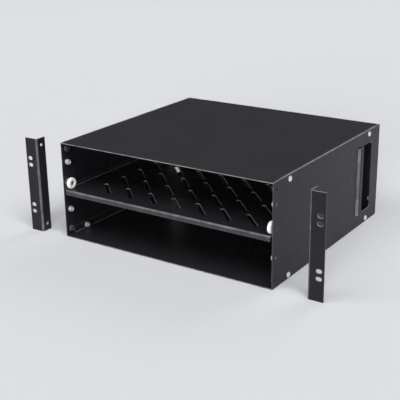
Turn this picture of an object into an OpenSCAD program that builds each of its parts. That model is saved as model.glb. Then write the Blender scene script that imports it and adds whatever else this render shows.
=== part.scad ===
// Rack housing, 4 units high, folded from steel sheet.
// It is open at the front and split at mid height by a slotted shelf. Two angle
// brackets that fit it to a 19-inch rack stand beside it, taken off.
// Origin: middle of the underside. +X to the right, +Y to the rear, +Z up.

/* [Case] */
// Width over the side walls
case_w = 428; // [400:2:440]
// Depth from the front edges to the rear wall's outer face
case_d = 400; // [380:5:600]
// Height of the side walls
case_h = 177; // [170:1:266]
// Thickness of the folded sheet
sheet = 1.5; // [1:0.1:2]
// Inner radius of the folds
fold_r = 1; // [0.5:0.1:2]
// Play between sheets that lie on each other
seat_gap = 0.1; // [0.05:0.05:0.3]
// Height of the flanges along the sides of the base and the cover
flange_h = 14; // [13:0.5:18]
// Distance from the front edges to the start of those flanges
flange_setback = 20; // [18:1:30]
// Width of the inward flanges at the rear of the side walls
rear_flange_w = 16; // [15:0.5:22]

/* [Shelf] */
// Height of the shelf's top surface
shelf_top_h = 90; // [70:1:110]
// Distance from the shelf's rear edge to the front edge of the side outlets
shelf_rear_gap = 16; // [10:1:100]
// Height of the turned-down lip along its front
lip_h = 9; // [6:0.5:14]
// Space between the lip's ends and the side walls
lip_end_gap = 3.5; // [2:0.5:6]
// Height of the turned-up flanges along its sides
shelf_flange_h = 8; // [6:0.5:10]
// Spacing of the slots, both ways
slot_pitch = 50; // [48:1:60]
// Length of a slot, end to end
slot_l = 56; // [40:1:56]
// Width of a slot
slot_w = 7; // [4:0.5:8]
// Angle of the slots to the front edge
slot_angle = 45; // [40:1:50]
// Least distance from a slot to the shelf's edge
slot_margin = 20; // [18:1:30]

/* [Shelf fixing] */
// Radius of the round nuts that clamp the shelf
knob_r = 10; // [8:0.5:12]
// Thickness of those nuts
knob_t = 6; // [5:0.5:9]
// Radius of the spacers under those nuts
spacer_r = 7; // [6:0.5:8]
// Thickness of the spacers
spacer_t = 3; // [2:0.5:4]
// Space under a nut, above the shelf
knob_gap = 0.4; // [0.3:0.1:1]
// Distance from the shelf's ends to the middle of a nut
knob_inset = 12; // [11:0.5:14]
// Width of the bevels along a nut's edges
knob_edge = 1; // [0.5:0.1:2]
// Distance from an ear's edge to the edge of the nut that covers it
ear_margin = 1; // [0.5:0.1:2]
// Depth of the recess in a nut's face
recess_d = 3; // [2:0.5:4]
// Radius of that recess
recess_r = 4.2; // [3.5:0.1:5]
// Radius of the flush heads of the studs
stud_head_r = 3.8; // [3.5:0.1:4.2]

/* [Side outlets] */
// Length of the cable outlet in each side wall
outlet_w = 62; // [50:1:70]
// Height of the outlet
outlet_h = 128; // [100:1:132]
// Distance from the outlet to the rear face
outlet_inset = 32; // [28:1:60]
// Radius of the outlet's rear corners
outlet_r = 3; // [1:0.5:6]
// Length of the hood over the front of the outlet
hood_l = 18; // [14:1:30]
// Steepest angle of the hood to the wall
hood_angle = 50; // [30:5:60]
// Radius of the bend out of the wall, at the middle of the sheet
hood_root_r = 2.75; // [2:0.25:4]
// Radius of the bend back, at the middle of the sheet
hood_crown_r = 8; // [4:0.5:9]
// Width of the cut along the hood's ends
hood_cut = 0.5; // [0.3:0.1:1]

/* [Screws and nuts] */
// Radius of the screws and studs
thread_r = 2.5; // [2:0.1:3]
// Play round a thread in its nut
thread_gap = 0.05; // [0.03:0.01:0.1]
// Play round a screw in a drilled sheet
hole_gap = 0.25; // [0.2:0.05:0.5]
// Length of the screws under the head
screw_l = 10; // [9.5:0.5:14]
// Radius of the screw heads
head_r = 4.75; // [4:0.05:5.5]
// Height of the screw heads
head_h = 3; // [2.5:0.1:3.7]
// Radius of the nuts that are pressed into the sheet
nut_r = 4.75; // [4.3:0.05:5.5]
// Length of those nuts inside the sheet
nut_l = 5.5; // [4:0.5:7]
// Radius of the stretch of a nut that sits in the sheet
nut_pilot_r = 3.3; // [3.2:0.05:3.6]
// Distance from the front edges to the front side screws
side_screw_front = 51.5; // [45:0.5:80]
// Distance from the rear face to the rear side screws
side_screw_rear = 48; // [30:0.5:80]
// Distance from the top and bottom edges to the side screws
side_screw_inset = 7.2; // [7:0.1:8]
// Distance from the top and bottom edges to the rear screws
rear_screw_inset = 32; // [28:1:60]

/* [Rack brackets] */
// Width of the leg that lies on the rack, over the side leg's thickness too
bracket_w = 27.3; // [24:0.1:41]
// Depth of the leg that is screwed to the side wall
bracket_leg = 21.5; // [18:0.5:30]
// Thickness of the brackets
bracket_t = 2; // [1.5:0.1:3]
// Height of one rack unit
rack_unit_h = 44.45; // [40:0.05:50]
// Distance between the middles of two slots that form a pair
rack_pair_h = 12.7; // [10:0.1:14]
// Length of a rack slot
rack_slot_l = 10; // [8:0.1:12]
// Width of a rack slot
rack_slot_w = 6.8; // [6:0.1:7.2]
// Distance from the outer edge to the middle of the rack slots
rack_slot_edge = 8.75; // [8:0.05:9.5]
// Distance from the front to the bracket holes and to the nuts in the side walls
front_inset = 12; // [11:0.5:13]
// Distance from the top and bottom edges to the bracket holes
bracket_hole_inset = 13; // [12:0.5:18]

/* [Brackets as set down] */
// Space between the left wall and its bracket
left_stand_gap = 52; // [20:1:80]
// Distance of the left bracket ahead of the front edges
left_stand_forward = 6; // [0:1:20]
// Space between the right wall and its bracket
right_stand_gap = 60; // [20:1:80]
// Distance of the right bracket behind the front edges
right_stand_back = 2; // [0:1:20]

/* [Hidden] */
$fn = 48;

eps = 0.01;
front_y = -case_d / 2;
rear_y = case_d / 2;
wall_in_x = case_w / 2 - sheet;
tray_x = wall_in_x - seat_gap;
flange_in_x = tray_x - sheet;
wall_rear_y = rear_y - sheet - seat_gap;
wall_l = wall_rear_y - front_y;
rear_flange_z = flange_h + 2;
screw_hole_r = thread_r + hole_gap;
nut_bore_r = thread_r + thread_gap;
nut_seat_r = nut_pilot_r + thread_gap;
stud_seat_r = stud_head_r + thread_gap;

outlet_front_y = rear_y - outlet_inset - outlet_w;
outlet_z = (case_h - outlet_h) / 2;

shelf_rear_y = outlet_front_y - shelf_rear_gap;
shelf_d = shelf_rear_y - front_y;
shelf_low = shelf_top_h - sheet;
lip_x = wall_in_x - lip_end_gap;
shelf_setback = knob_inset - knob_r + ear_margin;
knob_z = shelf_top_h + knob_gap + knob_r;
knob_back_x = flange_in_x - spacer_t;
knob_face_x = knob_back_x - knob_t;
stud_l = wall_in_x - knob_face_x - recess_d;
slot_span = (slot_l - slot_w) * [cos(slot_angle), sin(slot_angle)] + [slot_w, slot_w];
slot_columns = floor((2 * tray_x - 2 * slot_margin - slot_span.x) / slot_pitch) + 1;
slot_rows = floor((shelf_d - 2 * slot_margin - slot_span.y) / slot_pitch) + 1;

side_screw_places = [for (y = [front_y + side_screw_front, rear_y - side_screw_rear],
                          z = [side_screw_inset, case_h - side_screw_inset]) [y, z]];
bracket_hole_zs = [bracket_hole_inset, case_h - bracket_hole_inset];
panel_nut_zs = [for (side = [-1, 1]) case_h / 2 + side * rack_unit_h + rack_pair_h / 2];
wall_nut_places = [for (z = concat(bracket_hole_zs, panel_nut_zs)) [front_y + front_inset, z]];
stud_places = [for (y = [front_y + knob_inset, shelf_rear_y - knob_inset]) [y, knob_z]];
rear_screw_x = wall_in_x - rear_flange_w / 2;
rear_screw_places = [for (x = [-rear_screw_x, rear_screw_x],
                          z = [rear_screw_inset, case_h - rear_screw_inset]) [x, z]];
rack_slot_zs = [for (side = [-1, 1], pair = [-1, 1])
                case_h / 2 + side * rack_unit_h + pair * rack_pair_h / 2];

sheet_black = [0.16, 0.16, 0.17];
zinc = [0.82, 0.83, 0.85];
nylon_white = [0.88, 0.88, 0.86];

// ---- Helpers ----

// Quarter of a folded sheet: outer corner at the origin, legs along +X and +Y
module fold_profile(t) {
    outer_r = fold_r + t;
    translate([outer_r, outer_r]) intersection() {
        difference() {
            circle(outer_r);
            circle(fold_r);
        }
        translate([-outer_r, -outer_r]) square(outer_r);
    }
}

// L section with its outer corner at the origin
module angle_profile(leg_x, leg_y, t) {
    outer_r = fold_r + t;
    fold_profile(t);
    translate([outer_r, 0]) square([leg_x - outer_r, t]);
    translate([0, outer_r]) square([t, leg_y - outer_r]);
}

// U section, open upwards, centred on X
module channel_profile(half_w, leg) {
    for (side = [0, 1]) mirror([side, 0]) translate([-half_w, 0]) {
        angle_profile(half_w + eps, leg, sheet);
    }
}

// Extrudes an XZ section along +Y, from y = 0
module along_y(length) {
    translate([0, length, 0]) rotate([90, 0, 0]) linear_extrude(length) children();
}

// Puts a part that is drawn on +Z at each [y, z] place, with +Z turned to +X
module on_right_wall(places, x) {
    for (place = places) translate([x, place[0], place[1]]) rotate([0, 90, 0]) children();
}

// Puts a part that is drawn on +Z at each [x, z] place, with +Z turned to +Y
module on_rear_wall(places, y) {
    for (place = places) translate([place[0], y, place[1]]) rotate([-90, 0, 0]) children();
}

// Hole through one sheet, drawn on +Z and centred on the sheet's near face
module sheet_hole(r) {
    translate([0, 0, -2 * sheet]) cylinder(r = r, h = 4 * sheet);
}

// Pan head screw: head above z = 0, shank below it, with a cross recess
module pan_screw() {
    rim_h = head_h * 0.45;
    rise = head_h - rim_h;
    dome_r = (head_r * head_r + rise * rise) / (2 * rise);
    recess_w = head_r * 0.22;
    recess_l = head_r * 1.1;
    difference() {
        union() {
            rotate_extrude() intersection() {
                translate([0, head_h - dome_r]) circle(dome_r, $fn = 180);
                square([head_r, head_h]);
            }
            translate([0, 0, -screw_l]) cylinder(r = thread_r, h = screw_l + eps);
        }
        for (turn = [0, 90]) rotate(turn) translate([-recess_l / 2, -recess_w / 2, head_h * 0.4])
            cube([recess_l, recess_w, head_h]);
    }
}

// Nut pressed into a sheet: pilot in the sheet above z = 0, body below it
module press_nut() {
    edge = 0.5;
    rotate_extrude() difference() {
        union() {
            translate([0, -eps]) square([nut_pilot_r, sheet + eps]);
            polygon([[0, 0], [nut_r, 0], [nut_r, edge - nut_l], [nut_r - edge, -nut_l], [0, -nut_l]]);
        }
        translate([0, -nut_l - 1]) square([nut_bore_r, nut_l + sheet + 2]);
    }
}

// ---- Sheet parts ----

// Channel with side flanges that start behind the nuts at the front
module tray() {
    tray_l = wall_rear_y - front_y;
    translate([0, front_y + flange_setback, 0]) along_y(tray_l - flange_setback)
        channel_profile(tray_x, flange_h);
    translate([-tray_x, front_y, 0]) cube([2 * tray_x, flange_setback + eps, sheet]);
}

module base_plate() {
    color(sheet_black) difference() {
        tray();
        tray_holes([for (p = side_screw_places) if (p[1] < case_h / 2) p]);
    }
}

module top_cover() {
    color(sheet_black) translate([0, 0, case_h]) mirror([0, 0, 1]) difference() {
        tray();
        tray_holes([for (p = side_screw_places) if (p[1] > case_h / 2) [p[0], case_h - p[1]]]);
    }
}

// Seats of the pressed nuts in both flanges of a tray
module tray_holes(places) {
    for (side = [0, 1]) mirror([side, 0, 0]) on_right_wall(places, tray_x) sheet_hole(nut_seat_r);
}

// Window for cables: its rear corners are rounded
module outlet_window() {
    translate([wall_in_x - 1, outlet_front_y, outlet_z]) rotate([90, 0, 90])
        linear_extrude(sheet + 2) {
            square([outlet_w - outlet_r, outlet_h]);
            translate([0, outlet_r]) square([outlet_w, outlet_h - 2 * outlet_r]);
            for (y = [outlet_r, outlet_h - outlet_r]) translate([outlet_w - outlet_r, y])
                circle(outlet_r);
        }
}

// Hood pressed out of the wall over the front of the outlet, open to the rear.
// Its section follows a line of [point, heading] pairs along the middle of the sheet,
// with the heading measured from the wall. It starts a little inside the wall.
module outlet_hood() {
    root = 1;
    steps = 6;
    headings = [for (i = [0 : steps]) hood_angle * i / steps];
    root_bend = [for (h = headings) [hood_root_r * [1 - cos(h), sin(h)], h]];
    middle = root_bend[steps][0];
    crown_bend = [for (i = [steps - 1 : -1 : 0]) let (h = headings[i])
        [middle + hood_crown_r * [cos(h) - cos(hood_angle), sin(hood_angle) - sin(h)], h]];
    crown = crown_bend[steps - 1][0];
    line = concat([[[0, -root], 0]], root_bend, crown_bend, [[[crown.x, hood_l], 0]]);
    outer = [for (p = line) p[0] + sheet / 2 * [cos(p[1]), -sin(p[1])]];
    inner = [for (i = [len(line) - 1 : -1 : 0]) 2 * line[i][0] - outer[i]];
    translate([case_w / 2 - sheet / 2, outlet_front_y, outlet_z + hood_cut])
        linear_extrude(outlet_h - 2 * hood_cut) polygon(concat(outer, inner));
}

// Right side wall: flat sheet with a flange turned in at the rear
module wall_blank() {
    fold = fold_r + sheet;
    flange_tall = case_h - 2 * rear_flange_z;
    difference() {
        translate([wall_in_x, front_y, 0]) cube([sheet, wall_l, case_h]);
        translate([wall_in_x - 1, wall_rear_y - fold, rear_flange_z])
            cube([sheet + 2, fold + 1, flange_tall]);
    }
    translate([case_w / 2, wall_rear_y, rear_flange_z]) mirror([1, 0, 0]) mirror([0, 1, 0])
        linear_extrude(flange_tall) angle_profile(rear_flange_w, fold + eps, sheet);
}

module right_wall_shape() {
    rear_seats = [for (p = rear_screw_places) if (p[0] > 0) p];
    difference() {
        wall_blank();
        on_right_wall(side_screw_places, case_w / 2) sheet_hole(screw_hole_r);
        on_right_wall(wall_nut_places, case_w / 2) sheet_hole(nut_seat_r);
        on_right_wall(stud_places, case_w / 2) sheet_hole(stud_seat_r);
        on_rear_wall(rear_seats, wall_rear_y) sheet_hole(nut_seat_r);
        outlet_window();
    }
    outlet_hood();
}

module right_wall() { color(sheet_black) right_wall_shape(); }
module left_wall() { color(sheet_black) mirror([1, 0, 0]) right_wall_shape(); }

module rear_wall() {
    color(sheet_black) difference() {
        translate([-case_w / 2, rear_y - sheet, 0]) cube([case_w, sheet, case_h]);
        on_rear_wall(rear_screw_places, rear_y) sheet_hole(screw_hole_r);
    }
}

// ---- Shelf ----

module shelf_slot() {
    reach = (slot_l - slot_w) / 2;
    rotate(180 - slot_angle) translate([0, 0, -sheet]) {
        translate([-reach, -slot_w / 2, 0]) cube([2 * reach, slot_w, 3 * sheet]);
        for (end = [-1, 1]) translate([end * reach, 0, 0]) cylinder(r = slot_w / 2, h = 3 * sheet);
    }
}

module shelf_slots() {
    for (i = [0 : slot_columns - 1], j = [0 : slot_rows - 1])
        translate([(i - (slot_columns - 1) / 2) * slot_pitch,
                   (front_y + shelf_rear_y) / 2 + (j - (slot_rows - 1) / 2) * slot_pitch,
                   shelf_low]) shelf_slot();
}

// Round-topped ear on the right flange, behind each clamping nut
module shelf_ears() {
    ear_r = knob_r - ear_margin;
    on_right_wall(stud_places, flange_in_x) {
        cylinder(r = ear_r, h = sheet);
        translate([0, -ear_r, 0]) cube([knob_z - shelf_low - fold_r - sheet, 2 * ear_r, sheet]);
    }
}

module shelf() {
    fold = fold_r + sheet;
    color(sheet_black) difference() {
        union() {
            translate([0, front_y + shelf_setback, shelf_low])
                along_y(shelf_d - shelf_setback) channel_profile(tray_x, shelf_flange_h);
            translate([-lip_x, front_y, shelf_top_h]) rotate([90, 0, 90]) linear_extrude(2 * lip_x)
                mirror([0, 1]) angle_profile(shelf_setback + fold, lip_h, sheet);
            for (side = [0, 1]) mirror([side, 0, 0]) shelf_ears();
        }
        for (side = [0, 1]) mirror([side, 0, 0])
            on_right_wall(stud_places, tray_x) sheet_hole(screw_hole_r);
        shelf_slots();
    }
}

// ---- Fasteners ----

module side_screws() { on_right_wall(side_screw_places, case_w / 2) pan_screw(); }
module flange_nuts() { on_right_wall(side_screw_places, flange_in_x) press_nut(); }
module wall_nuts() { on_right_wall(wall_nut_places, wall_in_x) press_nut(); }

// Stud with a flush head in the wall's outer face
module shelf_studs() {
    on_right_wall(stud_places, wall_in_x) {
        cylinder(r = stud_head_r, h = sheet);
        translate([0, 0, -stud_l]) cylinder(r = thread_r, h = stud_l + eps);
    }
}

// Round spacer between an ear of the shelf and its nut
module shelf_spacers() {
    on_right_wall(stud_places, knob_back_x) rotate_extrude()
        translate([screw_hole_r, 0]) square([spacer_r - screw_hole_r, spacer_t]);
}

// Round nut with bevelled edges and a recess round the stud's end
module shelf_nuts() {
    on_right_wall(stud_places, knob_back_x) rotate_extrude() difference() {
        polygon([[0, 0], [knob_r - knob_edge, 0], [knob_r, -knob_edge], [knob_r, knob_edge - knob_t],
                 [knob_r - knob_edge, -knob_t], [0, -knob_t]]);
        translate([0, -knob_t - 1]) square([nut_bore_r, knob_t + 2]);
        translate([0, -knob_t - 1]) square([recess_r, recess_d + 1]);
    }
}

module right_side_screws() { color(zinc) side_screws(); }
module left_side_screws() { color(zinc) mirror([1, 0, 0]) side_screws(); }
module right_flange_nuts() { color(zinc) flange_nuts(); }
module left_flange_nuts() { color(zinc) mirror([1, 0, 0]) flange_nuts(); }
module right_wall_nuts() { color(zinc) wall_nuts(); }
module left_wall_nuts() { color(zinc) mirror([1, 0, 0]) wall_nuts(); }
module right_shelf_studs() { color(zinc) shelf_studs(); }
module left_shelf_studs() { color(zinc) mirror([1, 0, 0]) shelf_studs(); }
module right_shelf_spacers() { color(sheet_black) shelf_spacers(); }
module left_shelf_spacers() { color(sheet_black) mirror([1, 0, 0]) shelf_spacers(); }
module right_shelf_nuts() { color(nylon_white) shelf_nuts(); }
module left_shelf_nuts() { color(nylon_white) mirror([1, 0, 0]) shelf_nuts(); }
module rear_screws() { color(zinc) on_rear_wall(rear_screw_places, rear_y) pan_screw(); }
module rear_nuts() { color(zinc) on_rear_wall(rear_screw_places, wall_rear_y - sheet) press_nut(); }

// ---- Rack brackets ----

// Slot along X through the front leg, centred on the origin
module rack_slot() {
    reach = (rack_slot_l - rack_slot_w) / 2;
    rotate([-90, 0, 0]) translate([0, 0, -1]) {
        for (end = [-1, 1]) translate([end * reach, 0, 0])
            cylinder(r = rack_slot_w / 2, h = bracket_t + 2);
        translate([-reach, -rack_slot_w / 2, 0]) cube([2 * reach, rack_slot_w, bracket_t + 2]);
    }
}

// Right bracket: the wall's outer face is x = 0 and the front is y = 0
module bracket_shape() {
    difference() {
        linear_extrude(case_h) angle_profile(bracket_w, bracket_leg, bracket_t);
        for (z = rack_slot_zs) translate([bracket_w - rack_slot_edge, 0, z]) rack_slot();
        for (z = bracket_hole_zs) translate([-1, front_inset, z]) rotate([0, 90, 0])
            cylinder(r = screw_hole_r, h = bracket_t + 2);
    }
}

module right_bracket() {
    color(sheet_black) translate([case_w / 2 + right_stand_gap, front_y + right_stand_back, 0])
        bracket_shape();
}

module left_bracket() {
    color(sheet_black) translate([-case_w / 2 - left_stand_gap, front_y - left_stand_forward, 0])
        mirror([1, 0, 0]) bracket_shape();
}

base_plate();
top_cover();
left_wall();
right_wall();
rear_wall();
shelf();
left_side_screws();
right_side_screws();
left_flange_nuts();
right_flange_nuts();
left_wall_nuts();
right_wall_nuts();
left_shelf_studs();
right_shelf_studs();
left_shelf_spacers();
right_shelf_spacers();
left_shelf_nuts();
right_shelf_nuts();
rear_screws();
rear_nuts();
left_bracket();
right_bracket();
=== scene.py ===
# %% [markdown]
# # A rack housing in black powder coat
#
# The object is a 19-inch rack housing, four units high: folded steel sheets, a slotted
# shelf clamped by white round nuts, zinc-plated screws, and two angle brackets that
# stand beside it. The solids come from the CAD model and stay where they are. This
# lesson dresses them: softened sheet edges, screw threads, grips, finishes and light.

# %% Load the CAD frame
import math

import bmesh
import bpy
from mathutils import Matrix, Vector
from mathutils.bvhtree import BVHTree


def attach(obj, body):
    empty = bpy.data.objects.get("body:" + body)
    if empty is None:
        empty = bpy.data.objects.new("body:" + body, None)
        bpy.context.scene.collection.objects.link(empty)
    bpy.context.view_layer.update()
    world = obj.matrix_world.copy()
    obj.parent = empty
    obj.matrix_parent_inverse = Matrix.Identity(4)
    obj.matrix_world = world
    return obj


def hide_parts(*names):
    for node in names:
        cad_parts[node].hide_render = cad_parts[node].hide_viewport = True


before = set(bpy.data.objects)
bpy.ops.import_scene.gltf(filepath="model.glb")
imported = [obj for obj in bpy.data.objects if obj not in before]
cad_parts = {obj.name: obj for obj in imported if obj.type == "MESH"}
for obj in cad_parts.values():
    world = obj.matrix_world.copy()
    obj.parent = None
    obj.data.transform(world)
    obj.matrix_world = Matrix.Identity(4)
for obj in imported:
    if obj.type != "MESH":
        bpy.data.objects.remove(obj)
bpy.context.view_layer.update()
mm = 0.001
print("CAD nodes:", len(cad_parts))

# %% [markdown]
# ## The camera
#
# A product shot of a box works from just above and to one side, so that the front, the
# top and one wall all show. A long lens keeps the edges close to parallel. The turn,
# tilt and roll are written as angles, and a matrix is built from three directions,
# which is easier to read than three Euler numbers.

# %% Camera
scene = bpy.context.scene
camera_turn, camera_tilt, camera_roll = (math.radians(a) for a in (34.17, 19.78, -0.92))
camera_place = Vector((0.8254, -1.2976, 0.6025))

backward = Vector((math.sin(camera_turn) * math.cos(camera_tilt),
                   -math.cos(camera_turn) * math.cos(camera_tilt),
                   math.sin(camera_tilt)))
level_right = Vector((0, 0, 1)).cross(backward).normalized()
rightward = Matrix.Rotation(camera_roll, 3, backward) @ level_right
upward = backward.cross(rightward)

camera_data = bpy.data.cameras.new("camera")
camera_data.sensor_width = 36
camera_data.lens = 79.4
camera = bpy.data.objects.new("camera", camera_data)
camera.matrix_world = (Matrix.Translation(camera_place)
                       @ Matrix((rightward, upward, backward)).transposed().to_4x4())
scene.collection.objects.link(camera)
scene.camera = camera
print("camera at", tuple(round(v, 3) for v in camera_place))

# %% [markdown]
# ## Floor and light
#
# Black sheet metal has hardly any colour of its own: what the eye reads is what it
# reflects. So the room decides how it looks. The sky is pale only in a low band and
# dark above, which keeps the flat top dark. Three wide, high suns light the object
# and the pale floor evenly, which area lamps would not do, because their light falls
# off with distance. A fourth sun stands low in front and lights what faces forward:
# the cut edges, the lip of the shelf and the nuts. A low light would glare in the
# glossy top when it is seen from behind, so this one is hidden from glossy rays. One
# weak panel of light behind the object is there to be reflected in the top.

# %% Floor
scene.view_settings.view_transform = "Standard"


def new_material(name):
    """A material, its node tree's nodes and links, and its shader"""
    material = bpy.data.materials.new(name)
    material.use_nodes = True
    nodes, links = material.node_tree.nodes, material.node_tree.links
    return material, nodes, links, nodes["Principled BSDF"]


floor_material, _, _, floor_shader = new_material("pale_floor")
floor_shader.inputs["Base Color"].default_value = (0.61, 0.62, 0.64, 1)
floor_shader.inputs["Roughness"].default_value = 0.9
floor_shader.inputs["Specular IOR Level"].default_value = 0.1

floor_half, floor_drop = 30, 0.2 * mm
floor_mesh = bpy.data.meshes.new("floor")
floor_mesh.from_pydata([(x, y, -floor_drop) for x, y in (
    (-floor_half, -floor_half), (floor_half, -floor_half),
    (floor_half, floor_half), (-floor_half, floor_half))], [], [(0, 1, 2, 3)])
floor_mesh.materials.append(floor_material)
floor = bpy.data.objects.new("floor", floor_mesh)
scene.collection.objects.link(floor)
print("floor", 2 * floor_half, "m wide")

# %% Sky
band_edge, band_fade, band_strength, dark_strength = 0.05, 0.11, 0.55, 0.05
world = bpy.data.worlds.new("studio")
world.use_nodes = True
nodes, links = world.node_tree.nodes, world.node_tree.links
nodes["Background"].inputs["Color"].default_value = (0.93, 0.95, 1, 1)
height = nodes.new("ShaderNodeSeparateXYZ")
links.new(nodes.new("ShaderNodeTexCoord").outputs["Generated"], height.inputs[0])
dimming = nodes.new("ShaderNodeMapRange")
for label, value in (("From Min", band_edge), ("From Max", band_fade),
                     ("To Min", band_strength), ("To Max", dark_strength)):
    dimming.inputs[label].default_value = value
links.new(height.outputs["Z"], dimming.inputs["Value"])
links.new(dimming.outputs["Result"], nodes["Background"].inputs["Strength"])
scene.world = world
print("sky strength", band_strength, "low down and", dark_strength, "above")

# %% Lamps


def aim(lamp, place, target):
    """Puts a lamp at a place and turns its beam to a target"""
    lamp.location = place
    beam = Vector(target) - Vector(place)
    lamp.rotation_euler = beam.to_track_quat("-Z", "Y").to_euler()


def soft_sun(name, towards_light, spread, strength):
    """Even soft light from one direction; its spread is the width of its source"""
    data = bpy.data.lights.new(name, "SUN")
    data.angle = math.radians(spread)
    data.energy = strength
    lamp = bpy.data.objects.new(name, data)
    scene.collection.objects.link(lamp)
    aim(lamp, towards_light, (0, 0, 0))
    print(name, strength, "W/m2")
    return lamp


def soft_lamp(name, place, target, size, watts):
    """A rectangle of light near the object"""
    data = bpy.data.lights.new(name, "AREA")
    data.shape = "RECTANGLE"
    data.size, data.size_y = size
    data.energy = watts
    lamp = bpy.data.objects.new(name, data)
    lamp.visible_camera = False
    scene.collection.objects.link(lamp)
    aim(lamp, place, target)
    print(name, watts, "W")


soft_sun("key_sun", (0.47, -0.39, 0.79), 40, 2.6)
soft_sun("front_left_sun", (-0.35, -0.51, 0.79), 40, 1.0)
soft_sun("back_sun", (0.1, 0.78, 0.62), 30, 0.6)
front_fill = soft_sun("front_fill", (0.3, -0.93, 0.2), 20, 1.8)
front_fill.visible_glossy = False
soft_lamp("back_board", (-1.7, 2.5, 1.65), (0, 0, 0.177), (3.0, 1.2), 2)

# %% [markdown]
# ## Two effects that several finishes share
#
# Powder coat, moulded nylon and zinc plating all have a fine uneven skin, and painted
# edges and plated edges both get a lighter tone on their rims, which is partly wear and
# partly painted highlight. Each effect is a node group that is built once. A group gives
# only numbers, and the shader stays in the material, so each material decides what the numbers
# do to its colour, its gloss and its relief.

# %% Node group helpers


def new_group(name, inputs, outputs):
    """A shader node group; inputs are name: default, with None for a vector"""
    tree = bpy.data.node_groups.new(name, "ShaderNodeTree")
    for label, value in inputs.items():
        kind = "NodeSocketVector" if value is None else "NodeSocketFloat"
        socket = tree.interface.new_socket(label, in_out="INPUT", socket_type=kind)
        if value is not None:
            socket.default_value = value
    for label in outputs:
        tree.interface.new_socket(label, in_out="OUTPUT", socket_type="NodeSocketFloat")
    return tree, tree.nodes.new("NodeGroupInput"), tree.nodes.new("NodeGroupOutput")


def noise(nodes, links, vector, scale, detail):
    """A noise texture, whose scale and detail are numbers or sockets"""
    node = nodes.new("ShaderNodeTexNoise")
    links.new(vector, node.inputs["Vector"])
    for label, value in (("Scale", scale), ("Detail", detail)):
        if isinstance(value, bpy.types.NodeSocket):
            links.new(value, node.inputs[label])
        else:
            node.inputs[label].default_value = value
    return node.outputs["Fac"]


def calculate(nodes, links, operation, first, second, clamp=False):
    """The result of a Math node for two values, which are numbers or sockets"""
    node = nodes.new("ShaderNodeMath")
    node.operation = operation
    node.use_clamp = clamp
    for socket, value in zip(node.inputs, (first, second)):
        if isinstance(value, bpy.types.NodeSocket):
            links.new(value, socket)
        else:
            socket.default_value = value
    return node.outputs["Value"]


# %% Uneven skin
wavy_share = 0.22
skin_group, skin_in, skin_out = new_group(
    "uneven_skin", {"Vector": None, "Grain Scale": 900, "Cloud Scale": 14},
    ["Height", "Cloud"])
nodes, links = skin_group.nodes, skin_group.links
fine = noise(nodes, links, skin_in.outputs["Vector"], skin_in.outputs["Grain Scale"], 2)
wavy_scale = calculate(nodes, links, "MULTIPLY", skin_in.outputs["Grain Scale"], wavy_share)
wavy = noise(nodes, links, skin_in.outputs["Vector"], wavy_scale, 1)
links.new(calculate(nodes, links, "ADD", fine, wavy), skin_out.inputs["Height"])
cloud = noise(nodes, links, skin_in.outputs["Vector"], skin_in.outputs["Cloud Scale"], 3)
links.new(cloud, skin_out.inputs["Cloud"])
print("group", skin_group.name, "has", len(nodes), "nodes")

# %% Worn and highlit edges
# The mask paints rims lighter: partly wear, and partly painted highlight where edges catch the
# light.
patch_contrast = 1.6
wear_highlight_group, wear_highlight_in, wear_highlight_out = new_group(
    "rubbed_edges", {"Vector": None, "Rim": 0, "Patch Scale": 60, "Amount": 0.6},
    ["Mask"])
nodes, links = wear_highlight_group.nodes, wear_highlight_group.links
patches = noise(nodes, links, wear_highlight_in.outputs["Vector"], wear_highlight_in.outputs["Patch Scale"], 4)
stretched = calculate(nodes, links, "MULTIPLY", patches, patch_contrast)
worn_and_highlit = calculate(nodes, links, "MULTIPLY", wear_highlight_in.outputs["Rim"], stretched)
links.new(calculate(nodes, links, "MULTIPLY", worn_and_highlit, wear_highlight_in.outputs["Amount"], True),
          wear_highlight_out.inputs["Mask"])
print("group", wear_highlight_group.name, "has", len(nodes), "nodes")

# %% [markdown]
# ## The finishes
#
# The sheets have a black powder coat. It is baked on as a melt, so it is smooth in
# the large and pebbled in the small, half matt, and thinnest on the cut edges. Cut
# edges and folds are painted a lighter grey, partly as wear and partly as painted
# highlight; the hood's slope and the shelf's lip get only the painted highlight. The
# screws and most pressed nuts are zinc-plated and bright. The nuts on the shelf are
# moulded in white nylon, which lets a little light in. The nuts that the brackets are bolted to
# got a thin dark coat with the wall. One function makes all four, because they differ only in
# their numbers.

# %% Material helpers


def place_group(nodes, links, tree, **values):
    """Adds a group to a material and gives each input a number or a link"""
    node = nodes.new("ShaderNodeGroup")
    node.node_tree = tree
    for label, value in values.items():
        socket = node.inputs[label.replace("_", " ")]
        if isinstance(value, bpy.types.NodeSocket):
            links.new(value, socket)
        else:
            socket.default_value = value
    return node


def blend_values(nodes, links, amount, low, high, kind="RGBA"):
    """Mixes two colours or two numbers by an amount"""
    node = nodes.new("ShaderNodeMix")
    node.data_type = kind
    # A Mix node has sockets for every data type, so the ones of this type go by number
    slots = {"RGBA": (6, 7, 2), "FLOAT": (2, 3, 0)}[kind]
    links.new(amount, node.inputs[0])
    for index, value in zip(slots[:2], (low, high)):
        if isinstance(value, bpy.types.NodeSocket):
            links.new(value, node.inputs[index])
        else:
            node.inputs[index].default_value = value
    return node.outputs[slots[2]]


def add_relief(nodes, links, shader, height, depth):
    """Lets a height shade the surface as fine relief of the given depth"""
    bump = nodes.new("ShaderNodeBump")
    bump.inputs["Distance"].default_value = depth
    bump.inputs["Strength"].default_value = 1
    links.new(height, bump.inputs["Height"])
    links.new(bump.outputs["Normal"], shader.inputs["Normal"])


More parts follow.
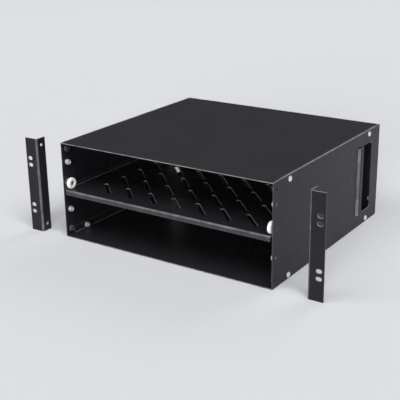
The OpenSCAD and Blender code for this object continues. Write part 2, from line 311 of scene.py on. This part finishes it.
def finish_material(name, colours, wear_and_highlight_colour, gloss, wear_and_highlight_gloss, metallic, specular,
                    grain, cloud, relief, wear_and_highlight):
    """A finish: colour and gloss vary in clouds, and rims get their own, which is partly wear
    and partly painted highlight
    """
    material, nodes, links, shader = new_material(name)
    place = nodes.new("ShaderNodeTexCoord").outputs["Object"]
    skin = place_group(nodes, links, skin_group, Vector=place, Grain_Scale=grain,
                       Cloud_Scale=cloud)
    rim = nodes.new("ShaderNodeAttribute")
    rim.attribute_name = "rim"
    wear_highlight_node = place_group(nodes, links, wear_highlight_group, Vector=place, Rim=rim.outputs["Fac"],
                      Amount=wear_and_highlight)
    clouds, mask = skin.outputs["Cloud"], wear_highlight_node.outputs["Mask"]
    coat = blend_values(nodes, links, clouds, (*colours[0], 1), (*colours[1], 1))
    links.new(blend_values(nodes, links, mask, coat, (*wear_and_highlight_colour, 1)),
              shader.inputs["Base Color"])
    sheen = blend_values(nodes, links, clouds, gloss[0], gloss[1], "FLOAT")
    links.new(blend_values(nodes, links, mask, sheen, wear_and_highlight_gloss, "FLOAT"),
              shader.inputs["Roughness"])
    shader.inputs["Metallic"].default_value = metallic
    shader.inputs["Specular IOR Level"].default_value = specular
    add_relief(nodes, links, shader, skin.outputs["Height"], relief)
    print("finish", name)
    return material, shader


# %% The four finishes
# The rim colour is a lighter grey: partly wear and partly painted highlight on cut edges and
# folds, and only painted highlight on the hood's slope and the lip.
black_coat, _ = finish_material(
    "black_powder_coat", colours=((0.0135, 0.013, 0.0155), (0.0185, 0.018, 0.021)),
    wear_and_highlight_colour=(0.24, 0.24, 0.255), gloss=(0.24, 0.30), wear_and_highlight_gloss=0.28,
    metallic=0, specular=0.13, grain=900, cloud=14, relief=0.012 * mm, wear_and_highlight=1.0)
plating = {"specular": 0.5, "grain": 2400, "cloud": 220, "relief": 0.01 * mm, "wear_and_highlight": 0.8}
bright_zinc, _ = finish_material(
    "bright_zinc", colours=((0.80, 0.81, 0.84), (0.92, 0.92, 0.91)),
    wear_and_highlight_colour=(0.95, 0.95, 0.95), gloss=(0.38, 0.50), wear_and_highlight_gloss=0.3, metallic=0.65, **plating)
dark_plating, _ = finish_material(
    "dark_plating", colours=((0.06, 0.06, 0.065), (0.11, 0.11, 0.11)),
    wear_and_highlight_colour=(0.3, 0.3, 0.3), gloss=(0.35, 0.5), wear_and_highlight_gloss=0.25, metallic=0.6, **plating)
white_nylon, nylon_shader = finish_material(
    "white_nylon", colours=((0.80, 0.80, 0.79), (0.88, 0.88, 0.87)),
    wear_and_highlight_colour=(0.90, 0.90, 0.89), gloss=(0.36, 0.48), wear_and_highlight_gloss=0.3,
    metallic=0, specular=0.5, grain=1500, cloud=120, relief=0.02 * mm, wear_and_highlight=0.4)
nylon_shader.inputs["Subsurface Weight"].default_value = 0.15
nylon_shader.inputs["Subsurface Scale"].default_value = 0.8 * mm

# %% [markdown]
# ## The sheets
#
# A CAD solid has perfectly sharp edges, and a sharp edge can't catch light. A real
# sheet is punched and deburred, and its coat rounds the edges further. So each sheet
# becomes a copy of its CAD mesh that can be worked on: its loose triangles are merged
# and its flat areas become single faces.

# %% Copy a CAD mesh
same_place, same_plane = 0.001 * mm, math.radians(0.5)


def bare_mesh(node):
    """A mesh in work that is a copy of a CAD node's, with its corners joined"""
    bm = bmesh.new()
    bm.from_mesh(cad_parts[node].data)
    bmesh.ops.remove_doubles(bm, verts=bm.verts, dist=same_place)
    bmesh.ops.dissolve_degenerate(bm, edges=bm.edges, dist=same_place)
    bmesh.ops.dissolve_limit(bm, angle_limit=same_plane, verts=bm.verts, edges=bm.edges)
    return bm


def make_piece(name, mesh, finish, nodes=()):
    """Puts a finished mesh in the scene as a piece that rides on the housing"""
    mesh.materials.clear()
    mesh.materials.append(finish)
    piece = bpy.data.objects.new(name, mesh)
    scene.collection.objects.link(piece)
    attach(piece, "root")
    if nodes:
        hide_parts(*nodes)
    mesh.calc_loop_triangles()
    print(name, len(mesh.loop_triangles), "triangles")
    return piece


# %% [markdown]
# ## Where edges get wear and painted highlight
#
# Each face of a sheet carries a number, rim, which the powder coat reads and which
# says how much lighter grey it paints the face: partly wear, and partly painted
# highlight where the sheet catches the light. It is highest on level cut edges, lower
# on the slope of the outlet's hood and on bends, and lowest on sheltered edges and the
# shelf's lip. The hood's slope and the lip get only painted highlight, and upright
# edges and edges in the corner by a side wall get less, since less light falls there.
# Nothing is picked by hand: a face's size, direction and place tell what it is.

# %% Measure edges and faces
sharp = math.radians(30)


def is_sharp(edge):
    """An edge where the surface turns a clear corner"""
    return len(edge.link_faces) == 2 and edge.calc_face_angle() > sharp


def length_round(edges):
    """The length of some edges together"""
    return sum(e.calc_length() for e in edges)


def longest_edge(face):
    """The length of a face's longest edge"""
    return max(e.calc_length() for e in face.edges)


def width_of(face):
    """About the width of a face, if it is long"""
    return 2 * face.calc_area() / length_round(face.edges)


# %% Tell cut edges and folds
cut_width, sharp_share = 2.2 * mm, 0.15
fold_width, fold_length, slight_bend = 0.7 * mm, 100 * mm, 0.02


def is_cut_face(face):
    """A face is a cut edge of the sheet if it is narrow and its borders are sharp"""
    sharp_length = length_round(e for e in face.edges if is_sharp(e))
    return (width_of(face) < cut_width
            and sharp_length > sharp_share * length_round(face.edges))


def is_fold(face):
    """A narrow long strip of a bend of small radius"""
    return (width_of(face) < fold_width and longest_edge(face) > fold_length
            and any(slight_bend < e.calc_face_angle() < sharp
                    for e in face.edges if len(e.link_faces) == 2))


# %% Tell the lip, the hood and sheltered edges
lip_length, lip_narrowest, lip_widest = 300 * mm, 3 * mm, 12 * mm
facing_front, leaning_front = -0.99, -0.3
wall_outside, bracket_inside = 214.2 * mm, 240 * mm
corner_outer, corner_inner, corner_length = 1.5 * mm, 9 * mm, 30 * mm
upright_height = 3 * mm


def is_lip(face):
    """The front of the shelf's lip, which faces forward and gets a painted highlight"""
    return (face.normal.y < facing_front and longest_edge(face) > lip_length
            and lip_narrowest < width_of(face) < lip_widest)


def is_hood(face):
    """The slope in front of a side outlet, which stands out of the wall and gets a painted
    highlight where it faces forward
    """
    outwards = abs(face.calc_center_median().x)
    return wall_outside < outwards < bracket_inside and face.normal.y < leaning_front


def is_sheltered(face):
    """An upright edge, or a long one in the corner by a side wall, where less light falls and
    the painted highlight is weaker
    """
    width, depth, tall = (max(v.co[k] for v in face.verts) - min(v.co[k] for v in face.verts)
                          for k in range(3))
    inside_wall = wall_outside - abs(face.calc_center_median().x)
    in_corner = corner_outer < inside_wall < corner_inner and depth > corner_length
    return tall > max(width, depth, upright_height) or in_corner


# %% Say how much wear and painted highlight a face gets
# Cut edges and folds: partly wear, partly painted highlight; hood and lip: only painted
# highlight; sheltered edges: less painted highlight.
wear_and_highlight_values = {"cut": 0.9, "hood": 0.6, "fold": 0.5, "sheltered": 0.2, "lip": 0.15}


def wear_and_highlight(face):
    """How much wear and painted highlight a face of a sheet gets before its edges are softened
    """
    if is_cut_face(face):
        return wear_and_highlight_values["sheltered" if is_sheltered(face) else "cut"]
    if is_fold(face):
        return wear_and_highlight_values["fold"]
    if is_lip(face):
        return wear_and_highlight_values["lip"]
    return wear_and_highlight_values["hood"] if is_hood(face) else 0


# %% [markdown]
# ## Softened edges
#
# Every sharp edge gets a bevel of 0.3 mm, and the bevels get the lighter grey of wear
# and painted highlight too. Where a bend runs out beside a flat edge, the two borders
# are almost in line, and a bevel there shoots out as a spike. So each corner that ends
# up more than half a bevel's width from the first surface is put back on it. At the
# end, a Weighted Normal modifier lets each large face decide the shading along its
# borders, so that only the bevels look round.

# %% Soften the edges
edge_round, stray_share = 0.3 * mm, 0.5
# Bevels get wear and painted highlight; sheltered bevels get less painted highlight.
bevel_rim, sheltered_bevel_rim = 0.9, 0.25


def soften(bm, radius):
    """Bevels the sharp edges, and writes each face's wear and painted highlight in the layer
    rim
    """
    surface = BVHTree.FromBMesh(bm)
    rim = bm.faces.layers.float.new("rim")
    for face in bm.faces:
        face[rim] = wear_and_highlight(face)
    edges = [e for e in bm.edges if is_sharp(e)]
    new = bmesh.ops.bevel(bm, geom=edges, offset=radius, offset_type="OFFSET",
                          segments=2, profile=0.5, affect="EDGES",
                          clamp_overlap=False)
    for face in new["faces"]:
        face[rim] = sheltered_bevel_rim if is_sheltered(face) else bevel_rim
    for vert in bm.verts:
        near, _, _, gap = surface.find_nearest(vert.co)
        if gap > stray_share * radius:
            vert.co = near
    return len(edges)


# %% Shade evenly
sheet_crease, large_face_weight = math.radians(50), 100


def evaluated_mesh(holder):
    """The mesh of an object with its modifiers applied, as a new mesh"""
    return bpy.data.meshes.new_from_object(
        holder.evaluated_get(bpy.context.evaluated_depsgraph_get()))


def evenly_shaded(mesh):
    """Lets the large flat faces keep flat shading, so that only bevels look round"""
    mesh.shade_smooth()
    mesh.set_sharp_from_angle(angle=sheet_crease)
    holder = bpy.data.objects.new("holder", mesh)
    scene.collection.objects.link(holder)
    weighted = holder.modifiers.new("weighted", "WEIGHTED_NORMAL")
    weighted.weight = large_face_weight
    weighted.keep_sharp = True
    even = evaluated_mesh(holder)
    bpy.data.objects.remove(holder)
    return even


# %% Dress the sheets


def coated_sheet(node):
    """A copy of a CAD node with softened edges and the black coat, in its place"""
    bm = bare_mesh(node)
    count = soften(bm, edge_round)
    mesh = bpy.data.meshes.new(node + "_coated")
    bm.to_mesh(mesh)
    bm.free()
    print(node, "has", count, "softened edges")
    return make_piece(node + "_coated", evenly_shaded(mesh), black_coat,
                      [node])


for sheet_node in ("base_plate", "top_cover", "left_wall", "right_wall", "rear_wall",
                   "shelf", "left_bracket", "right_bracket"):
    coated_sheet(sheet_node)

# %% [markdown]
# ## Turned parts
#
# Screws, nuts and studs are turned or moulded round an axis, so one helper makes
# them all: it turns an outline of radius and height round the Z axis. An outline that
# begins and ends on the axis gives a solid, and one that closes on itself gives a
# ring. Each part is modelled once, standing at the origin with its outer end up.

# %% Turn an outline round the axis
part_crease = math.radians(35)


def turned(name, outline, sides=40, ring=False):
    """A mesh turned round Z from an outline of (radius, height) points"""
    bm = bmesh.new()
    circles = []
    for radius, height in outline:
        if radius == 0:
            circles.append([bm.verts.new((0, 0, height))])
        else:
            turns = [2 * math.pi * i / sides for i in range(sides)]
            circles.append([bm.verts.new((radius * math.cos(t), radius * math.sin(t), height))
                            for t in turns])
    following = circles[1:] + circles[:1] if ring else circles[1:]
    for low, high in zip(circles, following):
        for i in range(sides):
            j = (i + 1) % sides
            corners = (low[i % len(low)], low[j % len(low)],
                       high[j % len(high)], high[i % len(high)])
            bm.faces.new(list(dict.fromkeys(corners)))
    bmesh.ops.recalc_face_normals(bm, faces=bm.faces)
    mesh = bpy.data.meshes.new(name)
    bm.to_mesh(mesh)
    bm.free()
    mesh.shade_smooth()
    mesh.set_sharp_from_angle(angle=part_crease)
    return mesh


def arc(centre, radius, start, end, steps=5):
    """Points of a round stretch of an outline, with its angles in degrees"""
    turns = [math.radians(start + (end - start) * i / steps) for i in range(steps + 1)]
    return [(centre[0] + radius * math.cos(t), centre[1] + radius * math.sin(t)) for t in turns]


patterns = []


def pattern_object(name, mesh):
    """Holds a part that the node trees copy; it is taken out of the scene at the end"""
    holder = bpy.data.objects.new(name, mesh)
    scene.collection.objects.link(holder)
    holder.hide_render = True
    patterns.append(holder)
    return holder


# %% [markdown]
# ## The pan head screw
#
# The head is a shallow dome with a round rim. Its cross recess is cut with a Boolean,
# and the cutter is a plus-shaped outline that gets smaller with depth, as a
# screwdriver's tip does. The shank is only the thread's core: the ridge is wound
# round it later by the node tree.

# %% Screw
head_radius, head_height, rim_height = 4.75 * mm, 3 * mm, 1.35 * mm
shank_length, core_radius, shank_tip = 10 * mm, 2.05 * mm, 0.5 * mm
neck_radius, neck_length = 2.45 * mm, 0.6 * mm
head_edge, rim_drop = 0.15 * mm, 0.1 * mm
dome_rise = head_height - rim_height
dome_radius = (head_radius ** 2 + dome_rise ** 2) / (2 * dome_rise)
rim_round = 0.35 * mm
dome_start = math.degrees(math.asin((head_radius - rim_round) / dome_radius))
dome = arc((0, head_height - dome_radius), dome_radius, 90 - dome_start, 90, 8)[:-1]
screw_outline = [(0, -shank_length), (core_radius - shank_tip, -shank_length),
                 (core_radius, shank_tip - shank_length), (core_radius, -neck_length),
                 (neck_radius, 0), (head_radius - head_edge, 0), (head_radius, head_edge),
                 (head_radius, rim_height - rim_drop), *dome, (0, head_height)]


def plus_outline(reach, half_width):
    """Corners of a plus sign, round the origin"""
    corners = []
    for quarter in range(4):
        turn = Matrix.Rotation(quarter * math.pi / 2, 2)
        corners += [turn @ Vector(c) for c in ((half_width, half_width),
                                               (half_width, reach), (-half_width, reach))]
    return corners


def cross_cutter(*ends):
    """A tapered plus sign, from the (reach, half width, height) of its two ends"""
    bm = bmesh.new()
    low, high = ([bm.verts.new((*c, height)) for c in plus_outline(reach, half_width)]
                 for reach, half_width, height in ends)
    bm.faces.new(low)
    bm.faces.new(high)
    for i in range(len(low)):
        bm.faces.new((low[i - 1], low[i], high[i], high[i - 1]))
    bmesh.ops.recalc_face_normals(bm, faces=bm.faces)
    mesh = bpy.data.meshes.new("cross_cutter")
    bm.to_mesh(mesh)
    bm.free()
    return bpy.data.objects.new("cross_cutter", mesh)


blank = bpy.data.objects.new("screw_blank", turned("screw_blank", screw_outline))
cutter = cross_cutter((1.0 * mm, 0.4 * mm, 1.0 * mm), (2.7 * mm, 0.6 * mm, 3.4 * mm))
for helper in (blank, cutter):
    scene.collection.objects.link(helper)
cut = blank.modifiers.new("cross", "BOOLEAN")
cut.operation, cut.object, cut.solver = "DIFFERENCE", cutter, "EXACT"
screw = pattern_object("screw_pattern", evaluated_mesh(blank))
for helper in (blank, cutter):
    bpy.data.objects.remove(helper)
print("screw has", len(screw.data.polygons), "faces")

# %% [markdown]
# ## Pressed nuts, studs and the white nuts
#
# A pressed nut has a pilot that sits in the sheet, flush with its far side, and a body
# on the near side. The pilot was coated with the wall, so it is a ring of its own. The
# studs have a flush head that was coated too. The white nuts have rounded edges and a
# recess, which holds a black metal insert with the thread, since a thread cut in nylon
# alone would soon wear. The stud's dark end shows in its middle.

# %% Nuts and studs
bore_radius, pilot_radius, nut_radius, nut_length = 2.55 * mm, 3.3 * mm, 4.75 * mm, 5.5 * mm
sheet_thickness = 1.5 * mm
nut_edge, pilot_edge = 0.4 * mm, 0.25 * mm
nut_body = pattern_object("nut_pattern", turned("nut_body", [
    (bore_radius + nut_edge, -nut_length),
    *arc((nut_radius - nut_edge, nut_edge - nut_length), nut_edge, -90, 0),
    (nut_radius, 0), (bore_radius, 0), (bore_radius, nut_edge - nut_length)], ring=True))
nut_pilot = pattern_object("pilot_pattern", turned("nut_pilot", [
    (bore_radius, 0), (pilot_radius, 0), (pilot_radius, sheet_thickness),
    (bore_radius + pilot_edge, sheet_thickness), (bore_radius, sheet_thickness - pilot_edge)],
    ring=True))

stud_head_radius, stud_length = 3.8 * mm, 7.6 * mm
stud_taper, stud_tip, stud_edge = 0.3 * mm, 0.4 * mm, 0.1 * mm
stud = pattern_object("stud_pattern", turned("stud", [
    (0, -stud_length), (core_radius - stud_taper, -stud_length),
    (core_radius, stud_tip - stud_length), (core_radius, 0), (stud_head_radius, 0),
    (stud_head_radius, sheet_thickness - stud_edge),
    (stud_head_radius - stud_edge, sheet_thickness), (0, sheet_thickness)]))

knob_radius, knob_thickness, knob_round = 9.85 * mm, 6 * mm, 1.1 * mm
recess_radius, recess_depth, recess_round = 4.2 * mm, 3 * mm, 0.5 * mm
knob_front = -knob_thickness
recess_floor = knob_front + recess_depth
white_nut = pattern_object("white_nut_pattern", turned("white_nut", [
    *arc((recess_radius + recess_round, knob_front + recess_round), recess_round, 180, 270),
    *arc((knob_radius - knob_round, knob_front + knob_round), knob_round, -90, 0),
    *arc((knob_radius - knob_round, -knob_round), knob_round, 0, 90),
    (bore_radius, 0), (bore_radius, recess_floor), (recess_radius, recess_floor)],
    sides=64, ring=True))
insert_radius, insert_height, insert_edge = 4.1 * mm, 1.5 * mm, 0.3 * mm
insert_face = recess_floor - insert_height
nut_insert = pattern_object("insert_pattern", turned("nut_insert", [
    (bore_radius, recess_floor), (bore_radius, insert_face),
    (insert_radius - insert_edge, insert_face), (insert_radius, insert_face + insert_edge),
    (insert_radius, recess_floor)], ring=True))
print("patterns:", [pattern.name for pattern in patterns])

# %% [markdown]
# ## A node tree that sets out threaded parts
#
# The same fastener repeats at many places, so Geometry Nodes do the work. The input is
# a mesh of bare points, one at each place, and each point carries the direction that
# its fastener faces. The tree winds a ridge along a spiral, joins it to the part,
# copies both to every point, and turns each copy by a random but fixed angle, because
# nobody lines up the crosses of real screws.

# %% Tree helpers


def new_tree(name, sizes):
    """A geometry node tree with named inputs, and its group input node"""
    tree = bpy.data.node_groups.new(name, "GeometryNodeTree")
    tree.interface.new_socket("Geometry", in_out="INPUT", socket_type="NodeSocketGeometry")
    for label, kind, value in sizes:
        socket = tree.interface.new_socket(label, in_out="INPUT",
                                           socket_type="NodeSocket" + kind)
        if value is not None:
            socket.default_value = value
    tree.interface.new_socket("Geometry", in_out="OUTPUT", socket_type="NodeSocketGeometry")
    return tree, tree.nodes.new("NodeGroupInput")


def step(tree, kind, settings=None, **sockets):
    """Adds a node; a socket takes a number or another node's output"""
    node = tree.nodes.new(kind)
    for label, value in (settings or {}).items():
        setattr(node, label, value)
    for label, value in sockets.items():
        socket = node.inputs[label.replace("_", " ")]
        if isinstance(value, bpy.types.NodeSocket):
            tree.links.new(value, socket)
        else:
            socket.default_value = value
    return node


def joined(tree, *parts):
    """Joins the outputs of several nodes into one geometry"""
    node = tree.nodes.new("GeometryNodeJoinGeometry")
    for part in parts:
        tree.links.new(part, node.inputs[0])
    return node.outputs[0]


def set_out(tree, points, part, finish, seed):
    """Ends a tree: copies a part to every point, facing as the point says"""
    facing = step(tree, "GeometryNodeInputNamedAttribute", {"data_type": "FLOAT_VECTOR"},
                  Name="facing").outputs["Attribute"]
    aimed = step(tree, "FunctionNodeAlignRotationToVector", {"axis": "Z"}, Vector=facing)
    chance = step(tree, "FunctionNodeRandomValue", {"data_type": "FLOAT"})
    # Sockets that share a name go by number: input 3 is the largest float, and output 1
    # is the random float itself
    chance.inputs[3].default_value = 2 * math.pi
    tree.links.new(seed, chance.inputs["Seed"])
    spin = step(tree, "FunctionNodeAxisAngleToRotation", Angle=chance.outputs[1])
    turned_copy = step(tree, "FunctionNodeRotateRotation", {"rotation_space": "LOCAL"},
                       Rotation=aimed.outputs[0], Rotate_By=spin.outputs[0])
    copies = step(tree, "GeometryNodeInstanceOnPoints", Points=points, Instance=part,
                  Rotation=turned_copy.outputs[0])
    real = step(tree, "GeometryNodeRealizeInstances", Geometry=copies.outputs[0])
    dressed = step(tree, "GeometryNodeSetMaterial", Geometry=real.outputs[0], Material=finish)
    output = tree.nodes.new("NodeGroupOutput")
    tree.links.new(dressed.outputs[0], output.inputs[0])


# %% The threaded fastener tree
fastener_tree, given = new_tree("threaded_fasteners", [
    ("Part", "Object", None), ("Finish", "Material", None),
    ("Thread Radius", "Float", 2.1 * mm), ("Ridge", "Float", 0.36 * mm),
    ("Pitch", "Float", 0.8 * mm), ("Turns", "Float", 10.0),
    ("Thread Start", "Float", 0.0), ("Seed", "Int", 1)])
inputs = given.outputs
part = step(fastener_tree, "GeometryNodeObjectInfo", Object=inputs["Part"])
height = step(fastener_tree, "ShaderNodeMath", {"operation": "MULTIPLY"})
fastener_tree.links.new(inputs["Turns"], height.inputs[0])
fastener_tree.links.new(inputs["Pitch"], height.inputs[1])
spiral = step(fastener_tree, "GeometryNodeCurveSpiral", Resolution=18,
              Rotations=inputs["Turns"], Start_Radius=inputs["Thread Radius"],
              End_Radius=inputs["Thread Radius"], Height=height.outputs[0])
start = step(fastener_tree, "ShaderNodeCombineXYZ", Z=inputs["Thread Start"])
lifted = step(fastener_tree, "GeometryNodeTransform", Geometry=spiral.outputs[0],
              Translation=start.outputs[0])
section = step(fastener_tree, "GeometryNodeCurvePrimitiveCircle", {"mode": "RADIUS"},
               Resolution=4, Radius=inputs["Ridge"])
ridge = step(fastener_tree, "GeometryNodeCurveToMesh", Curve=lifted.outputs[0],
             Profile_Curve=section.outputs["Curve"], Fill_Caps=True)
set_out(fastener_tree, inputs["Geometry"],
        joined(fastener_tree, part.outputs["Geometry"], ridge.outputs[0]),
        inputs["Finish"], inputs["Seed"])
print("tree", fastener_tree.name, "has", len(fastener_tree.nodes), "nodes")

# %% [markdown]
# ## A node tree for ribs round a nut
#
# The white nuts are turned by hand, so their rims have small round ribs, and a pressed
# nut has a knurl that bites into the sheet. Both are a ring of thin rods, so one
# tree makes both: it sets rods on a circle, and the circle at every point.

# %% The rib ring tree
rib_tree, given = new_tree("rib_rings", [
    ("Finish", "Material", None), ("Count", "Int", 30), ("Ring Radius", "Float", 9.8 * mm),
    ("Rib Radius", "Float", 0.4 * mm), ("Length", "Float", 4 * mm),
    ("Middle", "Float", 0.0), ("Seed", "Int", 2)])
inputs = given.outputs
circle = step(rib_tree, "GeometryNodeMeshCircle", Vertices=inputs["Count"],
              Radius=inputs["Ring Radius"])
rod = step(rib_tree, "GeometryNodeMeshCylinder", Vertices=8, Radius=inputs["Rib Radius"],
           Depth=inputs["Length"])
ring = step(rib_tree, "GeometryNodeInstanceOnPoints", Points=circle.outputs[0],
            Instance=rod.outputs["Mesh"])
middle = step(rib_tree, "ShaderNodeCombineXYZ", Z=inputs["Middle"])
lifted = step(rib_tree, "GeometryNodeTransform", Geometry=ring.outputs[0],
              Translation=middle.outputs[0])
set_out(rib_tree, inputs["Geometry"], lifted.outputs[0], inputs["Finish"], inputs["Seed"])
print("tree", rib_tree.name, "has", len(rib_tree.nodes), "nodes")

# %% [markdown]
# ## Set out the fasteners
#
# The places come from the CAD: each solid of a node gives the middle of its box, and
# the seat is worked out from its outer end along the way that it faces.

# %% Find the places


def solids_in(node):
    """The box of each solid in a CAD node, as (low corner, high corner)"""
    bm = bare_mesh(node)
    unseen, boxes = set(bm.verts), []
    while unseen:
        solid = [unseen.pop()]
        for vert in solid:
            for edge in vert.link_edges:
                other = edge.other_vert(vert)
                if other in unseen:
                    unseen.remove(other)
                    solid.append(other)
        corners = [v.co for v in solid]
        boxes.append(tuple(Vector(pick(c[k] for c in corners) for k in range(3))
                           for pick in (min, max)))
    bm.free()
    return sorted(boxes, key=lambda box: tuple(round(v, 5) for v in box[0]))


facings = {"left": Vector((-1, 0, 0)), "right": Vector((1, 0, 0)), "rear": Vector((0, 1, 0))}


def seats(*nodes, inset=0.0):
    """(place, facing) of each solid: the middle of its outer end, moved in by inset"""
    found = []
    for node in nodes:
        facing = facings[node.split("_")[0]]
        for low, high in solids_in(node):
            middle, half = (low + high) / 2, (high - low) / 2
            reach = abs(half.dot(facing)) - inset
            found.append((middle + facing * reach, facing))
    return found


# %% Run a tree


def nodes_piece(name, tree, places, finish, slot, replaced=(), **values):
    """Runs a tree on bare points and keeps the result as a plain mesh"""
    points = bpy.data.meshes.new(name + "_points")
    points.from_pydata([place for place, _ in places], [], [])
    facing = points.attributes.new("facing", "FLOAT_VECTOR", "POINT")
    facing.data.foreach_set("vector", [c for _, way in places for c in way])
    holder = bpy.data.objects.new(name + "_points", points)
    scene.collection.objects.link(holder)
    modifier = holder.modifiers.new("set_out", "NODES")
    modifier.node_group = tree
    values["Finish"] = finish
    for item in tree.interface.items_tree:
        if item.in_out == "INPUT" and item.name.replace(" ", "_") in values:
            modifier[item.identifier] = values[item.name.replace(" ", "_")]
    mesh = evaluated_mesh(holder)
    bpy.data.objects.remove(holder)
    return make_piece(name, mesh, finish, replaced)


# %% Screws
thread_inset = 0.3 * mm
screw_nodes = ["left_side_screws", "right_side_screws", "rear_screws"]
nodes_piece("case_screws", fastener_tree, seats(*screw_nodes, inset=head_height),
            bright_zinc, "zinc", screw_nodes, Part=screw, Turns=11.0,
            Thread_Start=thread_inset - shank_length, Seed=3)

# %% Pressed nuts
nut_thread = {"Thread_Radius": 2.7 * mm, "Ridge": 0.22 * mm}
pressed_nut = {"Part": nut_body, "Turns": 6.0, "Thread_Start": thread_inset - nut_length,
               **nut_thread}
flange_nodes = ["left_flange_nuts", "right_flange_nuts", "rear_nuts"]
flange_seats = seats(*flange_nodes, inset=sheet_thickness)
nodes_piece("flange_nuts", fastener_tree, flange_seats, bright_zinc, "zinc", flange_nodes,
            **pressed_nut)

wall_nodes = ["left_wall_nuts", "right_wall_nuts"]
wall_seats = seats(*wall_nodes, inset=sheet_thickness)
heights = sorted({round(place.z, 4) for place, _ in wall_seats})
panel_seats = [s for s in wall_seats if round(s[0].z, 4) in heights[1:3]]
bracket_seats = [s for s in wall_seats if s not in panel_seats]
nodes_piece("panel_nuts", fastener_tree, panel_seats, bright_zinc, "zinc", wall_nodes,
            **pressed_nut)
nodes_piece("bracket_nuts", fastener_tree, bracket_seats, dark_plating, "zinc", **pressed_nut)
nodes_piece("nut_pilots", fastener_tree, wall_seats + flange_seats, black_coat, "black_sheet",
            Part=nut_pilot, Turns=1.0, Thread_Start=thread_inset, **nut_thread)
nodes_piece("nut_knurls", rib_tree, wall_seats + flange_seats, bright_zinc, "zinc", Count=24,
            Ring_Radius=4.7 * mm, Rib_Radius=0.25 * mm, Length=1.2 * mm, Middle=-0.65 * mm)

# %% Shelf studs, spacers and white nuts
stud_nodes = ["left_shelf_studs", "right_shelf_studs"]
nodes_piece("shelf_studs", fastener_tree, seats(*stud_nodes, inset=sheet_thickness),
            black_coat, "black_sheet", stud_nodes, Part=stud, Turns=8.0,
            Thread_Start=stud_tip - stud_length)
for spacer_node in ("left_shelf_spacers", "right_shelf_spacers"):
    coated_sheet(spacer_node)
knob_nodes = ["left_shelf_nuts", "right_shelf_nuts"]
knob_seats = seats(*knob_nodes)
nodes_piece("white_nuts", fastener_tree, knob_seats, white_nylon, "white_nylon",
            knob_nodes, Part=white_nut, Turns=3.0, Thread_Start=thread_inset + recess_floor,
            **nut_thread)
nodes_piece("white_nut_ribs", rib_tree, knob_seats, white_nylon, "white_nylon",
            Count=36, Ring_Radius=9.65 * mm, Rib_Radius=0.45 * mm, Length=3.6 * mm,
            Middle=knob_front / 2)
nodes_piece("nut_inserts", fastener_tree, knob_seats, black_coat, "black_sheet",
            Part=nut_insert, Turns=1.0, Thread_Start=insert_face, **nut_thread)

# %% Clear the bench
for pattern in patterns:
    bpy.data.objects.remove(pattern)
shown = [name for name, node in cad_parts.items() if not node.hide_render]
print("CAD nodes still shown:", shown)
